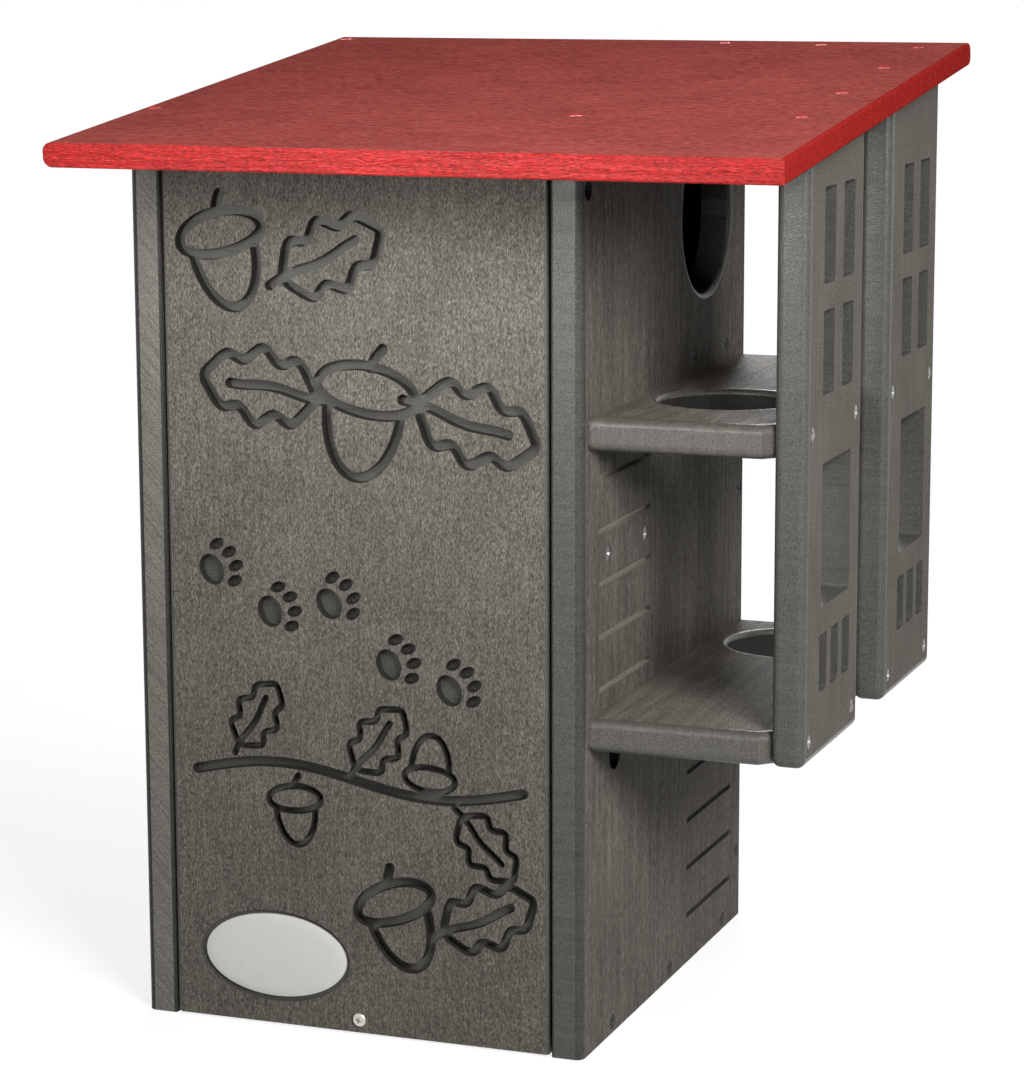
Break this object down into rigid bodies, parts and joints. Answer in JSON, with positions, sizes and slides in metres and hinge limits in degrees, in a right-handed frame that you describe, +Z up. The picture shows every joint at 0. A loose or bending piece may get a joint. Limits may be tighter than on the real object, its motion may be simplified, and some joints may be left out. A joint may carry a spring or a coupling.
{
  "type": "squirrel nest box",
  "caption": "Upright squirrel nest box of plastic lumber with a top-hinged front door, a pitched roof and a side porch of holed shelves behind windowed slats.",
  "frame": {"origin": "middle of the box's footprint, on the plane that its base stands on", "axes": "+X towards the porch, +Y from the door to the back panel, +Z up"},
  "size_m": [0.386, 0.3807, 0.5226],
  "materials": {
    "lumber": "charcoal grey plastic lumber, brushed grain",
    "roof": "red plastic lumber, brushed grain",
    "badge": "white, smooth and blank",
    "dark_screw": "black coated",
    "red_screw": "red coated",
    "bright_screw": "bare stainless"
  },
  "bodies": {
    "box": {"left_wall": "lumber", "right_wall": "lumber", "back_panel": "lumber", "floor_panel": "lumber", "upper_inner_shelf": "lumber", "lower_inner_shelf": "lumber", "upper_porch_shelf": "lumber", "lower_porch_shelf": "lumber", "front_slat": "lumber", "rear_slat": "lumber", "porch_rear_rail": "lumber", "roof_panel": "roof", "floor_screws": "dark_screw", "back_panel_screws": "dark_screw", "inner_shelf_screws": "bright_screw", "slat_screws": "bright_screw", "porch_screws": "dark_screw", "roof_screws": "red_screw"},
    "door": {"front_door": "lumber", "badge_plate": "badge", "door_pivot_screws": "dark_screw"},
    "lock_screw": {"door_lock_screw": "bright_screw"}
  },
  "joints": [
    {"name": "door_hinge", "type": "hinge", "parent": "box", "child": "door", "pos_m": [0, -0.13375, 0.457], "axis": [-1, 0, 0], "range_deg": [0, 90]},
    {"name": "lock_draw", "type": "slide", "parent": "door", "child": "lock_screw", "axis": [0, -1, 0], "range_m": [0, 0.016]}
  ]
}
